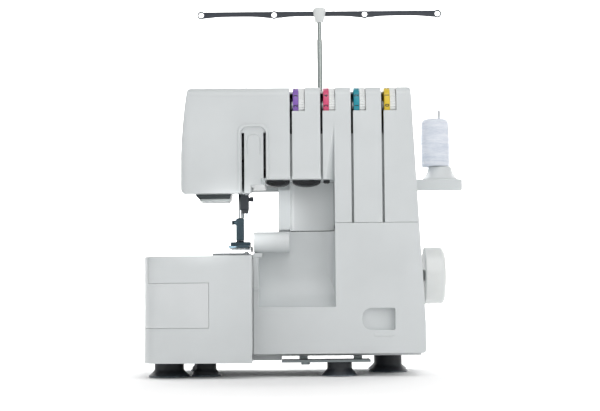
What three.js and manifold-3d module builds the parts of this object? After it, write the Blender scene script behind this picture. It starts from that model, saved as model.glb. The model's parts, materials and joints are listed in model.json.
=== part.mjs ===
// A four-thread serger overlock machine: moulded casings round a cast frame, with its drive, loopers,
// thread tension dials, telescopic thread stand, removable side table and fold-down looper cover.
// Millimetres, +Z up. The front faces -Y and the handwheel is on the +X side.
// Inside the file X is measured from between the first two thread slots and Y from the lower front
// panel. The last lines move the whole to its origin, the middle of its base.
import * as THREE from 'three';
import { mergeVertices } from 'three/addons/utils/BufferGeometryUtils.js';
import Module from 'manifold-3d';

// ---------------------------------------------------------------- sizes that fit pieces together
const wall = 2.5;              // moulded casing wall
const gap = 0.3;               // between pieces that touch
const seam = 0.8;              // open seam round a cover that moves
const running = 0.3;           // radial clearance of a shaft or bar in its bore

// Heights above the floor
const footHeight = 16;
const tableBottom = 15.5;
const tableTop = 126;
const plateTop = 130.4;
const coverBottom = 23.6;
const scoopFoot = 72.5;        // where the scooped front meets the lower panel
const creaseHeight = 77.5;     // the front leans back above this line
const throatSeam = 153.5;
const towerSeam = 161;
const headBottom = 193;
const tongueBottom = 201.5;
const browBottom = 207;        // lower edge of the casing over the thread pads
const channelTop = 257;        // closed backs of the thread slots end here
const noseTop = 266;
const bodyTop = 305.7;
const shoulderHeight = bodyTop - 9.7;
const dialSill = bodyTop - 25.7;
const underRise = 7;           // the head's underside climbs this much from front to back
const rearHeadBottom = 213;    // and steps up at the rear casing
const lowerBackTop = 196;

// Depths from the lower front panel
const tableFront = -30;
const tableDepth = 220;
const towerFront = 3;
const throatFront = 38;        // recessed face under the thread pads
const splitLine = 78;          // joint between front and rear casings
const coverDepth = 44;
const upperBack = 140;
const lowerBack = 198;

// Stations along the width
const tableRight = -50.3;
const tableWidth = 114.7;
const headLeft = -127;
const noseLeft = -65;
const noseRight = -33;
const postLeft = -24;
const throatLeft = -11;
const towerLeft = 36.8;
const towerRight = 118.4;      // at the top
const sideFlare = 0.0508;      // how far the right side leans out, per mm down
const flareEnd = 57;           // the side is upright below this height
const beltLine = 100;          // joint between the rear casing and the belt cover

// Thread slots and tension dials
const slotCount = 4;
const firstSlot = -9;
const slotPitch = 32.4;
const slotWidth = 2.4;
const dialRadius = 20;
const dialWidth = 11.8;
const dialFrontStand = 1.6;    // the dial's rim stands this far behind the front face
const dialTopStand = 1.8;      // and this far above the top

// Front cover
const coverLeft = -49.7;
const scoopLeft = -44.2;       // the scooped front starts here, past the cover's thick left wall
const hingeY = 10;
const hingeZ = 32;
const coverTravel = 8;         // the cover slides this far right before it swings down
const hingeRodRadius = 2.5;
const earWidth = 8;
const lugWidth = 8;
const hoodLeft = -49.5;
const hoodRadius = 10.8;

// Needle, presser and knives
const needleX = -57.5;
const needleY = 44;
const needleBarRadius = 3;
const presserX = -64;
const presserY = 57;
const presserBarRadius = 3.5;
const needleStroke = 28;
const footLift = 4.7;

// Drive
const shaftY = 80;
const shaftZ = 106;
const shaftRadius = 6;
const handwheelRadius = 31.5;
const handwheelWidth = 22.5;
const handwheelInner = 135.9;
const mainPulleyRadius = shaftY - coverDepth - 10;   // its belt clears the cover's back edge
const motorY = 165;
const motorZ = 64;
const motorRadius = 26;
const motorPulleyRadius = 9;
const beltThickness = 3;
const beltLeft = 104;
const beltWidth = 8;

// Thread stand
const trayFront = 141;
const trayDepth = 99;
const trayWidth = 323;
const trayBottom = 205;
const trayHeight = 13.5;
const trayRise = 8;            // the tray's lower edge climbs this much from front to back
const poleX = 25;
const poleRadius = 3.15;
const poleWall = 0.35;
const poleFit = 0.2;           // radial clearance between the pole's sections
const poleLowerTop = bodyTop + 85.9;
const hubBottom = bodyTop + 106.7;
const poleMiddleTop = hubBottom - gap;
const hubTop = bodyTop + 123.4;
const hubRadius = 7.2;
const innerReach = 54.2;       // from the pole to an inner eyelet and the spool pin below it
const outerReach = 141.5;
const eyeHeight = bodyTop + 116.1;
const pinTop = 305.6;
const coneBottom = 237.3;
const coneTop = 294;
const coneRadius = 16.5;
const coneShift = 5;           // the cones sit this far left of their pins
const holderRadius = 21;
const stemRadius = 5;          // inside the cone

// ---------------------------------------------------------------- finishes
const finish = (color, roughness, metalness) =>
  new THREE.MeshStandardMaterial({ color, roughness, metalness });
const casingWhite = finish(0xd8dbdc, 0.42, 0);
const panelWhite = finish(0xdfe0e2, 0.42, 0);
const darkPlastic = finish(0x32363c, 0.45, 0);
const rubberBlack = finish(0x1a2026, 0.8, 0);
const brightSteel = finish(0xaeb4b8, 0.25, 1);
const castMetal = finish(0x9a9ea1, 0.5, 1);
const blueSteel = finish(0x4d5d63, 0.35, 1);
const threadWhite = finish(0xd4dbe4, 0.75, 0);
const lensClear = finish(0xe8ecec, 0.2, 0);
const dialColours = [0x825bb1, 0xd54c75, 0x248f9f, 0xe0c631];

// ---------------------------------------------------------------- solids
const wasm = await Module();
wasm.setup();

// Turns a closed three.js geometry into a solid with its faces pointing out.
function solidOf(geometry) {
  geometry.deleteAttribute('normal');
  geometry.deleteAttribute('uv');
  const merged = mergeVertices(geometry, 1e-4);
  const triangles = [];
  for (let i = 0; i < merged.index.count; i += 3) {
    const [a, b, c] = [0, 1, 2].map((k) => merged.index.getX(i + k));
    if (a !== b && b !== c && c !== a) triangles.push([a, b, c]);
  }
  const build = (list) => new wasm.Manifold(new wasm.Mesh({
    numProp: 3,
    vertProperties: new Float32Array(merged.attributes.position.array),
    triVerts: new Uint32Array(list.flat()),
  }));
  const solid = build(triangles);
  return solid.volume() > 0 ? solid : build(triangles.map(([a, b, c]) => [a, c, b]));
}

const join = (first, ...rest) => rest.reduce((sum, solid) => sum.add(solid), first);
const cut = (first, ...rest) => rest.reduce((left, solid) => left.subtract(solid), first);
const common = (first, ...rest) => rest.reduce((left, solid) => left.intersect(solid), first);

// Extrudes an outline along an axis. The outline's two numbers are the other two axes, in X, Y, Z order.
function prism(axis, outline, from, to) {
  const shape = new THREE.Shape(outline.map(([u, v]) => new THREE.Vector2(u, v)));
  const geometry = new THREE.ExtrudeGeometry(shape, { depth: to - from, bevelEnabled: false });
  const place = new THREE.Matrix4();
  if (axis === 'x') place.set(0, 0, 1, from, 1, 0, 0, 0, 0, 1, 0, 0, 0, 0, 0, 1);
  if (axis === 'y') place.set(1, 0, 0, 0, 0, 0, -1, to, 0, 1, 0, 0, 0, 0, 0, 1);
  if (axis === 'z') place.makeTranslation(0, 0, from);
  return solidOf(geometry.applyMatrix4(place));
}

const rectangle = (u0, u1, v0, v1) => [[u0, v0], [u1, v0], [u1, v1], [u0, v1]];
const block = (x0, x1, y0, y1, z0, z1) => prism('z', rectangle(x0, x1, y0, y1), z0, z1);

// Rounds the corners of an outline whose points are [u, v, radius].
function rounded(points, steps = 4) {
  const result = [];
  points.forEach(([u, v, reach = 0], i) => {
    if (reach === 0) {
      result.push([u, v]);
      return;
    }
    const corner = new THREE.Vector2(u, v);
    const towards = (j) => {
      const [a, b] = points[(j + points.length) % points.length];
      return new THREE.Vector2(a, b).sub(corner).setLength(reach).add(corner);
    };
    const curve = new THREE.QuadraticBezierCurve(towards(i - 1), corner, towards(i + 1));
    curve.getPoints(steps).forEach((p) => result.push([p.x, p.y]));
  });
  return result;
}

function circle(u, v, radius, sides = 24) {
  return Array.from({ length: sides }, (_, i) => {
    const angle = (i / sides) * 2 * Math.PI;
    return [u + radius * Math.cos(angle), v + radius * Math.sin(angle)];
  });
}

const rod = (axis, u, v, radius, from, to, sides) => prism(axis, circle(u, v, radius, sides), from, to);

// Turns a profile of [radius, height] points round an axis through the origin.
function turned(axis, profile, sides = 24) {
  const points = profile.map(([r, h]) => new THREE.Vector2(r, h));
  const geometry = new THREE.LatheGeometry(points, sides);
  if (axis === 'x') geometry.rotateZ(-Math.PI / 2);
  if (axis === 'z') geometry.rotateX(Math.PI / 2);
  return solidOf(geometry);
}

// Makes a named mesh of a solid and adds it to a group.
function piece(parent, name, solid, material) {
  const { vertProperties, triVerts } = solid.getMesh();
  const geometry = new THREE.BufferGeometry();
  geometry.setAttribute('position', new THREE.BufferAttribute(vertProperties, 3));
  geometry.setIndex(new THREE.BufferAttribute(triVerts, 1));
  geometry.computeVertexNormals();
  const mesh = new THREE.Mesh(geometry, material);
  mesh.name = name;
  parent.add(mesh);
  return mesh;
}

function placed(parent, x, y, z) {
  const child = new THREE.Group();
  child.position.set(x, y, z);
  parent.add(child);
  return child;
}

const machine = new THREE.Group();

// ---------------------------------------------------------------- shared outlines
const sideAt = (z) => towerRight + (bodyTop - Math.max(z, flareEnd)) * sideFlare;
const slotAt = (i) => firstSlot + i * slotPitch;
const slots = Array.from({ length: slotCount }, (_, i) => slotAt(i));
const dialY = towerFront + dialFrontStand + dialRadius;
const dialZ = bodyTop + dialTopStand - dialRadius;

const earsX = [coverLeft + 14, sideAt(0) - 26];
const lugsX = [coverLeft + 32, sideAt(0) - 40];

// The bowed left end of the head, from the top down to the given height. g sets it in.
function headEnd(bottom, g) {
  const bow = 8;
  const steps = 5;
  const low = bottom + 14;
  const points = [[headLeft + bow + g, bodyTop - g, 4]];
  for (let i = 1; i <= steps; i += 1) {
    const t = i / steps;
    points.push([headLeft + g + bow * (1 - t) ** 2, bodyTop + (low - bodyTop) * t]);
  }
  points.push([headLeft + 1 + g, bottom + g, 6]);
  return points;
}

// ---------------------------------------------------------------- front casing: head and tower
function frontOutline(g) {
  const open = g > 0 ? -1 : 0;
  return rounded([
    ...headEnd(headBottom, g),
    [-52 - g, headBottom + g],
    [-52 - g, tongueBottom + g],
    [noseRight - 4 - g, tongueBottom + g],
    [noseRight - 4 - g, browBottom + g],
    [towerLeft + g, browBottom + g],
    [towerLeft + g, towerSeam + open],
    [sideAt(towerSeam) - g, towerSeam + open],
    [sideAt(bodyTop) - g, bodyTop - g, 3],
  ]);
}
// Space under the head's climbing underside. g raises it.
const climbStart = 17;
const underSpace = (g) => prism('x', [
  [climbStart, headBottom - 1],
  [climbStart, headBottom + g],
  [splitLine + 2, headBottom + underRise + g],
  [splitLine + 2, headBottom - 1],
], headLeft - 1, -52 - g);
const frontSilhouette = () => prism('y', frontOutline(0), towerFront - noseProud, splitLine);

function frontBody(g) {
  const open = g > 0 ? -1 : 0;
  const shoulder = [
    [towerFront + g, towerSeam - 5],
    [towerFront + g, shoulderHeight - g],
    [towerFront + 2 + g, shoulderHeight + 5 - g],
    [towerFront + 7 + g, bodyTop - g],
    [splitLine - open, bodyTop - g],
    [splitLine - open, towerSeam - 5],
  ];
  const plan = rounded([
    [headLeft + g, splitLine - open],
    [headLeft + g, towerFront + g, 14 - g],
    [sideAt(towerSeam) + 1, towerFront + g],
    [sideAt(towerSeam) + 1, splitLine - open],
  ], 6);
  const body = common(
    prism('y', frontOutline(g), towerFront, splitLine - open),
    prism('x', shoulder, headLeft - 1, sideAt(towerSeam) + 2),
    prism('z', plan, towerSeam - 5, bodyTop + 1),
  );
  return cut(body, underSpace(g));
}

// The nose in front of the take-up levers: a raised rim round a flat tongue, with a slot down each side.
const noseProud = 1.8;         // the rim stands this far out of the head
const noseRim = 2.4;
const noseBack = 9;
const noseSlots = [-60, -36.9];
const noseSlotWidth = 2.8;

function noseOutline(inset, bottom) {
  return rounded([
    [noseLeft + inset, bottom],
    [noseRight - inset, bottom],
    [noseRight - inset, noseTop - inset, 9],
    [noseLeft + inset, noseTop - inset, 9],
  ], 5);
}

// Raised arch on the tongue.
function tongueArch() {
  const middle = (noseSlots[0] + noseSlots[1]) / 2;
  const foot = channelTop - 24;
  const face = towerFront + 0.6;
  const arch = (halfWidth, top) => rounded([
    [middle - halfWidth, foot],
    [middle + halfWidth, foot],
    [middle + halfWidth, top, halfWidth * 0.9],
    [middle - halfWidth, top, halfWidth * 0.9],
  ]);
  return cut(
    prism('y', arch(7.2, channelTop - 1), face - 0.5, face + 0.5),
    prism('y', arch(6.3, channelTop - 2), face - 1, face + 1),
    block(middle - 8, middle + 8, face - 1, face + 1, foot - 1, foot + 1));
}

// Lip along the lower edge of the casing, over the thread pads.
function browLip(left, right) {
  return prism('x', [
    [towerFront + 0.5, browBottom],
    [towerFront + 0.5, browBottom + 13],
    [towerFront - 0.6, browBottom + 5],
    [towerFront - 1.6, browBottom + 1.2],
    [towerFront - 1, browBottom],
  ], left, right);
}

// Hollow in the casing beside the tower: it starts at nothing and deepens downwards and to the right.
function towerHollow(depth) {
  const front = towerFront - 1;
  const bottom = browBottom - 1;
  return wasm.Manifold.hull([
    [slotAt(1) + 3, front, bottom],
    [towerLeft, front, bottom],
    [towerLeft, towerFront + depth, bottom],
    [towerLeft, front, noseTop + 6],
  ]);
}

function frontCasing() {
  const backing = (x0, x1, y1, z0, z1) =>
    common(block(x0, x1, towerFront, y1, z0, z1), frontBody(0));
  const channelDepth = 9;
  const hollowDepth = 9;
  const channelBacks = slots.map((x) => backing(x - 3.5, x + 3.5, towerFront + channelDepth + wall,
    x < towerLeft ? browBottom : towerSeam, channelTop));
  let casing = join(
    cut(frontBody(0), frontBody(wall)),
    backing(noseLeft - 3, noseRight + 3, noseBack, headBottom, noseTop + 3),
    backing(slotAt(1) + 2, towerLeft + wall, towerFront + hollowDepth + wall, browBottom, noseTop - 4),
    ...channelBacks);
  const rim = common(
    prism('y', noseOutline(0, headBottom), towerFront - noseProud, towerFront + 1),
    frontSilhouette());
  casing = cut(
    join(casing, rim, browLip(noseRight - 1, slotAt(0) - 1), browLip(slotAt(0) + 1, slotAt(1) - 1)),
    prism('y', noseOutline(noseRim, headBottom - 1), towerFront - noseProud - 1, towerFront + 0.6),
    towerHollow(hollowDepth));
  const noseSlot = (x) => block(x - noseSlotWidth / 2, x + noseSlotWidth / 2,
    towerFront - noseProud - 1, noseBack + 1, headBottom - 1, channelTop);
  casing = join(cut(casing, ...noseSlots.map(noseSlot)), tongueArch());
  const half = slotWidth / 2;
  const front = towerFront - 1;
  const topCut = dialY + 13.5;
  for (const x of slots) {
    casing = cut(casing,
      block(x - half, x + half, front, towerFront + channelDepth, towerSeam - 1, channelTop),
      block(x - half, x + half, front, topCut, channelTop - 0.5, bodyTop + 1),
      block(x - half, x + dialWidth + 3, front, topCut, dialSill, bodyTop + 1));
  }
  return cut(casing, block(presserX - 7, needleX + 7, needleY - 9, presserY + 9,
    headBottom - 1, headBottom + underRise + wall + 1));
}
piece(machine, 'front_casing', frontCasing(), casingWhite);

// ---------------------------------------------------------------- rear casing, belt cover, throat cover
const rearFront = splitLine + gap;

function rearBody(g) {
  const open = g > 0 ? 1 : 0;
  const back = rounded([
    ...headEnd(rearHeadBottom, g),
    [postLeft + g, rearHeadBottom + g],
    [postLeft + g, coverBottom + g],
    [beltLine + open, coverBottom + g],
    [beltLine + open, trayBottom + g],
    [sideAt(trayBottom) - g, trayBottom + g],
    [sideAt(bodyTop) - g, bodyTop - g, 3],
  ]);
  return join(
    prism('y', back, rearFront - open, upperBack - g),
    block(postLeft + g, beltLine + open, rearFront - open, lowerBack - g, coverBottom + g, lowerBackTop - g));
}

const lifterZ = 253;           // pivot of the presser foot lifter, above the spool tray
const handleSpan = 104;
const handleMiddle = -10;
const handleY = 104;
const handlePocket = 12;       // depth of the pocket that the folded handle lies in
const handlePinZ = bodyTop - 6;
const handlePinRadius = 2;
const handlePinReach = 9.5;    // past the handle's own ends

function handleRecess(g) {
  const half = handleSpan / 2 + 8 + g;
  return block(handleMiddle - half, handleMiddle + half, handleY - 12 - g, handleY + 24 + g,
    bodyTop - handlePocket - g, bodyTop + 1);
}

function rearCasing() {
  let casing = cut(rearBody(0), rearBody(wall));
  const throatWall = block(postLeft, throatLeft + wall + 2, rearFront, rearFront + wall,
    tableTop, rearHeadBottom);
  casing = join(casing, throatWall, common(cut(handleRecess(wall), handleRecess(0)), rearBody(0)));
  casing = cut(casing, handleRecess(0));
  const armOpening = block(postLeft - 1, postLeft + wall + 1, rearFront + 6, upperBack - 4,
    tableTop - 60, tableTop - 4);
  const lifterHole = rod('y', presserX, lifterZ, 4.5, upperBack - wall - 1, upperBack + 1, 16);
  const pinReach = handleSpan / 2 + handlePinReach + gap;
  const pinBores = rod('x', handleY, handlePinZ, handlePinRadius + gap,
    handleMiddle - pinReach, handleMiddle + pinReach, 12);
  return cut(casing, armOpening, lifterHole, pinBores);
}
piece(machine, 'rear_casing', rearCasing(), casingWhite);

const sideFront = coverDepth + 0.5;
function beltBody(g) {
  const left = beltLine + gap - (g > 0 ? 1 : 0);
  const side = [
    [left, coverBottom + g],
    [sideAt(0) - g, coverBottom + g],
    [sideAt(flareEnd) - g, flareEnd],
    [sideAt(trayBottom) - g, trayBottom - gap - g],
    [left, trayBottom - gap - g],
  ];
  const profile = [
    [sideFront + g, coverBottom + g],
    [sideFront + g, towerSeam - gap - g],
    [rearFront + g, towerSeam - gap - g],
    [rearFront + g, trayBottom - gap - g],
    [upperBack - g, trayBottom - gap - g],
    [upperBack - g, lowerBackTop - g],
    [lowerBack - g, lowerBackTop - g],
    [lowerBack - g, coverBottom + g],
  ];
  return common(
    prism('y', side, sideFront, lowerBack),
    prism('x', profile, left, sideAt(0) + 1));
}

const switchY = 128;
const switchZ = 52;
const inletZ = 52;
const inletY = 160;
function beltCover() {
  const edge = sideAt(flareEnd);
  return cut(cut(beltBody(0), beltBody(wall)),
    rod('x', shaftY, shaftZ, shaftRadius + 1.5, edge - 14, edge + 5),
    block(edge - 8, edge + 1, switchY - 7.5, switchY + 7.5, switchZ - 11, switchZ + 11),
    block(edge - 8, edge + 1, inletY - 13, inletY + 13, inletZ - 10, inletZ + 10));
}
piece(machine, 'belt_cover', beltCover(), casingWhite);

// Power switch: a rocker that tips about a pin along Y. Its ends stand 1 mm out of the cover.
function powerSwitch() {
  const edge = sideAt(flareEnd);
  return prism('y', rounded([
    [edge - 6, switchZ - 9],
    [edge + 0.6, switchZ - 9.5, 1],
    [edge - 0.6, switchZ],
    [edge + 0.6, switchZ + 9.5, 1],
    [edge - 6, switchZ + 9],
  ], 2), switchY - 6.5, switchY + 6.5);
}
piece(machine, 'power_switch', powerSwitch(), darkPlastic);

function powerInlet() {
  const edge = sideAt(flareEnd);
  const body = block(edge - 14, edge + 0.3, inletY - 12.6, inletY + 12.6, inletZ - 9.6, inletZ + 9.6);
  const socket = block(edge - 11, edge + 1, inletY - 10, inletY + 10, inletZ - 7, inletZ + 7);
  const contact = (y) => rod('x', y, inletZ, 1.4, edge - 12, edge - 3, 10);
  return join(cut(body, socket), contact(inletY - 5), contact(inletY + 5));
}
piece(machine, 'power_inlet', powerInlet(), darkPlastic);

// Recessed cover under the thread pads: a front wall and a left wall.
function columnCover() {
  const bottom = throatSeam + seam;
  const top = browBottom - gap;
  const right = towerLeft - gap;
  const plan = rounded([
    [throatLeft, splitLine],
    [throatLeft, throatFront, 6],
    [right, throatFront],
    [right, splitLine],
  ]);
  return cut(prism('z', plan, bottom, top),
    block(throatLeft + wall, right + 1, throatFront + wall, splitLine + 1, bottom - 1, top + 1));
}
piece(machine, 'column_cover', columnCover(), casingWhite);

// ---------------------------------------------------------------- front cover
const throatCurve = 14;        // the scooped wall curves forward into the tower's side

// Space in front of the scooped wall: upright at the back and curving forward to the lower panel.
function scoopSpace(g, left) {
  const bend = 118;
  const steps = 12;
  const curve = Array.from({ length: steps + 1 }, (_, i) => {
    const angle = (i / steps) * Math.PI / 2;
    return [(throatFront + g) * Math.cos(angle), bend - (bend - scoopFoot + g) * Math.sin(angle)];
  });
  const region = [[throatFront + g, towerSeam + 5], ...curve, [-60, scoopFoot - g], [-60, towerSeam + 5]];
  const plan = rounded([
    [left, -61],
    [towerLeft + g, -61],
    [towerLeft + g, throatFront + g, throatCurve],
    [left, throatFront + g],
  ], 8);
  return common(prism('x', region, left, towerLeft + g), prism('z', plan, 0, towerSeam + 6));
}

function coverBody(g) {
  const open = g > 0 ? 1 : 0;
  const right = sideAt(towerSeam);
  const throatEdge = throatSeam - g + open * (wall + 1);
  const face = rounded([
    [coverLeft + g, coverBottom + g],
    [sideAt(0) - g, coverBottom + g, 4],
    [sideAt(flareEnd) - g, flareEnd],
    [right - g, towerSeam - gap - g],
    [towerLeft + g, towerSeam - gap - g],
    [towerLeft + g, throatEdge],
    [coverLeft + g, throatEdge],
  ]);
  const profile = [
    [g, coverBottom - open],
    [g, creaseHeight],
    [towerFront + g, towerSeam + 1],
    [hingeY + 4 + open, towerSeam + 1],
    [hingeY + 14 + open, towerSeam - 3.5],
    [coverDepth + open, towerSeam - 7.2],
    [coverDepth + open, coverBottom + 14 - 6 * open],
    [hingeY + 4 + 5 * open, coverBottom - 3 * open],
  ];
  return common(prism('y', face, 0, coverDepth + 1), prism('x', profile, coverLeft - 1, sideAt(0) + 1));
}

// D-shaped thumb recess with its flat end to the right, and the raised arrow below it.
const thumbRight = 99;
const thumbWidth = 34.5;
const thumbTop = 71;
const thumbHeight = 23;
const thumbDepth = [4, 9];      // at the rounded end and at the flat end
function thumbOutline(g) {
  const low = thumbTop - thumbHeight;
  return rounded([
    [thumbRight - thumbWidth - g, low - g, thumbHeight / 2],
    [thumbRight + g, low - g, 2],
    [thumbRight + g, thumbTop + g, 2],
    [thumbRight - thumbWidth - g, thumbTop + g, thumbHeight / 2],
  ], 6);
}

function arrowMark() {
  const z = thumbTop - thumbHeight - 5;
  return prism('y', [
    [thumbRight - 22, z - 1.6],
    [thumbRight - 6, z - 1.6],
    [thumbRight - 6, z - 3],
    [thumbRight - 0.5, z],
    [thumbRight - 6, z + 3],
    [thumbRight - 6, z + 1.6],
    [thumbRight - 22, z + 1.6],
  ], -0.5, 0.5);
}

// The recess's floor slopes down to its flat end.
function thumbSpace(g) {
  const left = thumbRight - thumbWidth - g;
  const slope = prism('z', [
    [left, -1],
    [thumbRight + g, -1],
    [thumbRight + g, thumbDepth[1] + g],
    [left, thumbDepth[0] + g],
  ], 0, thumbTop + wall + 1);
  return common(slope, prism('y', thumbOutline(g), -1, thumbDepth[1] + wall));
}

function frontCover() {
  const farLeft = coverLeft - 10;
  const overArm = common(scoopSpace(0, farLeft),
    block(farLeft, scoopLeft + 1, -60, coverDepth, plateTop - 1, towerSeam + 5));
  const outer = cut(coverBody(0), scoopSpace(0, scoopLeft), overArm);
  const inner = cut(coverBody(wall), scoopSpace(wall, farLeft));
  const cup = common(thumbSpace(wall), coverBody(0));
  const tab = block(coverLeft + 1, scoopLeft + 4, 1.6, 9, plateTop - 5.6, plateTop - 1);
  const ear = (x) => join(
    rod('x', hingeY, hingeZ, 5, x, x + earWidth, 16),
    common(block(x, x + earWidth, 1, hingeY, coverBottom + 1, hingeZ + 5), coverBody(0)));
  const notch = (x) => block(x - coverTravel - 1, x + lugWidth + coverTravel + 1,
    wall + 0.7, hingeY + 10, coverBottom - 1, coverBottom + wall + 1);
  const cover = cut(join(cut(outer, inner), cup, arrowMark()), thumbSpace(0));
  return cut(
    join(cover, looperHood(), tab, ...earsX.map(ear)),
    ...lugsX.map(notch),
    rod('x', hingeY, hingeZ, hingeRodRadius + running, coverLeft + 5, sideAt(0) - 5, 16));
}

// Rounded hood over the upper looper, moulded on the scooped wall.
function looperHood() {
  const middleY = throatFront - gap - hoodRadius - 4;
  const middleZ = throatSeam - 0.8 - hoodRadius;
  const right = throatLeft - 0.5;
  const round = prism('x', circle(middleY, middleZ, hoodRadius, 28), hoodLeft, right);
  const neck = block(hoodLeft, right, middleY, throatFront + 1,
    middleZ - hoodRadius + 0.2, middleZ + hoodRadius - 0.2);
  return join(round, neck);
}
piece(machine, 'front_cover', frontCover(), casingWhite);

// The rod that the cover swings on. It slides sideways in two lugs of the base.
piece(machine, 'cover_hinge_rod',
  rod('x', hingeY, hingeZ, hingeRodRadius, coverLeft + 10, sideAt(0) - 14, 12), brightSteel);

// ---------------------------------------------------------------- side table and its storage cap
const tableLeft = tableRight - tableWidth;
const tableBack = tableFront + tableDepth;
function tableBody(g) {
  const right = tableRight + (g > 0 ? 1 : 0);
  const bowed = new THREE.SplineCurve([
    [tableLeft + g, tableFront + 46],
    [tableLeft + 1.2 + g, tableFront + 30],
    [tableLeft + 5.5 + g, tableFront + 17 + g * 0.3],
    [tableLeft + 15 + g * 0.5, tableFront + 7 + g],
    [tableLeft + 40, tableFront + 2 + g],
    [right, tableFront + g],
  ].map(([x, y]) => new THREE.Vector2(x, y))).getPoints(22).map((p) => [p.x, p.y]);
  const back = rounded([
    [right, tableBack - g],
    [tableLeft + g, tableBack - g, 12],
    [tableLeft + g, tableFront + 46],
  ]).slice(0, -1);
  return prism('z', [...back, ...bowed], tableBottom - (g > 0 ? 1 : 0), tableTop - g);
}

const armLeft = -94;
const armFront = 18;
const armBack = 130;
const armRight = -50;
const capLine = -158.5;        // the cap's upper edge of seams
const capReach = -94.8;        // how far its tongue reaches to the right
const capTop = 97.8;
const capBottom = 51.6;
function capRegion(g) {
  return prism('y', [
    [tableLeft - 2, tableTop + 2],
    [capLine + g, tableTop + 2],
    [capLine + g, capTop + g],
    [capReach + g, capTop + g],
    [capReach + g, capBottom - g],
    [tableLeft - 2, capBottom - g],
  ], tableFront - 2, 40);
}

function tableShell() {
  return cut(tableBody(0), tableBody(wall), block(armLeft - 1.5, tableRight + 2,
    armFront - 1.5, armBack + 1.5, tableTop - wall - 1, tableTop + 1));
}
const capPiece = common(tableShell(), capRegion(0));
const runnerFront = tableFront + 48;
const runnerBack = 36;
const capRunner = block(tableLeft + wall, capReach - 20, runnerFront, runnerBack,
  capBottom + 0.5, capBottom + 3);
const capBackWall = block(tableLeft + wall - 1, tableLeft + wall + 1, runnerFront, runnerBack,
  capBottom + 0.5, capTop);
const tableSolid = cut(tableShell(), capRegion(gap));
piece(machine, 'side_table', tableSolid, casingWhite);
piece(machine, 'storage_cap', join(capPiece, capRunner, capBackWall), panelWhite);

// ---------------------------------------------------------------- free arm, plate and what works there
const feedX = [-76.5, -68.5];
const feedWidth = 3;
const feedFront = 32;
const feedLength = 38;
const feedStroke = 1.6;

function freeArmCasing() {
  const flange = block(armRight - 7, armRight, 1, armFront + 1, coverBottom + 1, tableTop - wall - gap);
  return join(flange, cut(
    block(armLeft, armRight, armFront, armBack, tableTop - 62, plateTop - 1.9),
    block(armLeft + wall, armRight + 1, armFront + wall, armBack - wall, tableTop - 60, plateTop)));
}
piece(machine, 'free_arm_casing', freeArmCasing(), panelWhite);

function needlePlate() {
  const plate = block(armLeft + 0.6, -54, armFront + 0.6, armBack - 0.6, plateTop - 1.6, plateTop);
  const feedSlot = (x) => block(x - 0.7, x + feedWidth + 0.7,
    feedFront - feedStroke - 0.8, feedFront + feedLength + feedStroke + 0.8, plateTop - 3, plateTop + 1);
  const needleHole = block(needleX - 2.5, needleX + 2.5, needleY - 2.5, needleY + 2.5,
    plateTop - 3, plateTop + 1);
  return cut(plate, ...feedX.map(feedSlot), needleHole);
}
piece(machine, 'needle_plate', needlePlate(), brightSteel);

function feedDog() {
  const bar = (x) => block(x, x + feedWidth, feedFront, feedFront + feedLength, plateTop - 7, plateTop - 0.1);
  const carrier = block(feedX[0], feedX[1] + feedWidth, feedFront + 4, feedFront + feedLength - 4,
    plateTop - 12, plateTop - 6);
  return join(carrier, ...feedX.map(bar));
}
piece(machine, 'feed_dog', feedDog(), brightSteel);

// A looper is a flat curved arm on a pivot boss.
function looper(x, z, reach, rise, y) {
  const arm = prism('y', [
    [x - 3, z + 2],
    [x - reach * 0.8, z + rise * 0.72],
    [x - reach, z + rise],
    [x - reach * 0.6, z + rise * 0.84],
    [x + 2, z + 6],
    [x + 4, z - 2],
  ], y, y + 3);
  return join(arm, rod('y', x, z, 6, y - 2, y + 14, 20));
}
const lowerLooperX = -36;
const lowerLooperZ = 80;
const upperLooperX = -31;
const upperLooperZ = 96;
piece(machine, 'lower_looper', looper(lowerLooperX, lowerLooperZ, 23, 40, coverDepth + 5), brightSteel);
piece(machine, 'upper_looper', looper(upperLooperX, upperLooperZ, 16, 25, coverDepth + 22), brightSteel);

const knifeFront = 30;
const knifeLength = 13;
piece(machine, 'upper_knife', prism('x', rounded([
  [knifeFront, plateTop + 0.6],
  [knifeFront + knifeLength, plateTop + 2],
  [knifeFront + knifeLength, plateTop + 7, 2],
  [knifeFront + 2, plateTop + 7, 2],
]), -52.9, -51.1), darkPlastic);
piece(machine, 'lower_knife', block(-53.7, -53.2, knifeFront + 1, knifeFront + knifeLength - 1,
  plateTop - 26, plateTop - 0.2), brightSteel);

// ---------------------------------------------------------------- needle and presser
const clampTop = 193.7;
const clampBottom = 174;
const barTop = bodyTop - 5.7;
piece(machine, 'needle_bar',
  rod('z', needleX, needleY, needleBarRadius, clampTop + gap, barTop, 16), brightSteel);

function needleClamp() {
  const body = block(needleX - 7.5, needleX + 2.3, needleY - 4.5, needleY + 4, clampBottom + 4, clampTop);
  const jaw = prism('y', [
    [needleX - 4.5, clampBottom],
    [needleX + 1.5, clampBottom],
    [needleX + 2.3, clampBottom + 6],
    [needleX - 7.5, clampBottom + 6],
  ], needleY - 3, needleY + 3);
  const screw = rod('x', needleY, clampTop - 4.5, 2, needleX + 2, needleX + 6.6, 12);
  return join(body, jaw, screw);
}
piece(machine, 'needle_clamp', needleClamp(), darkPlastic);
piece(machine, 'needle', turned('z', [
  [0, 146], [0.35, 148], [0.55, 160], [0.55, clampBottom - gap], [0, clampBottom - gap],
], 8).translate([needleX - 0.3, needleY, 0]), brightSteel);

const ankleTop = 169.5;
const soleBottom = 135.3;
const soleTop = 138;
const ankleX = -65.4;
piece(machine, 'presser_bar',
  rod('z', presserX, presserY, presserBarRadius, ankleTop + gap, barTop - 2, 16), brightSteel);

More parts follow.
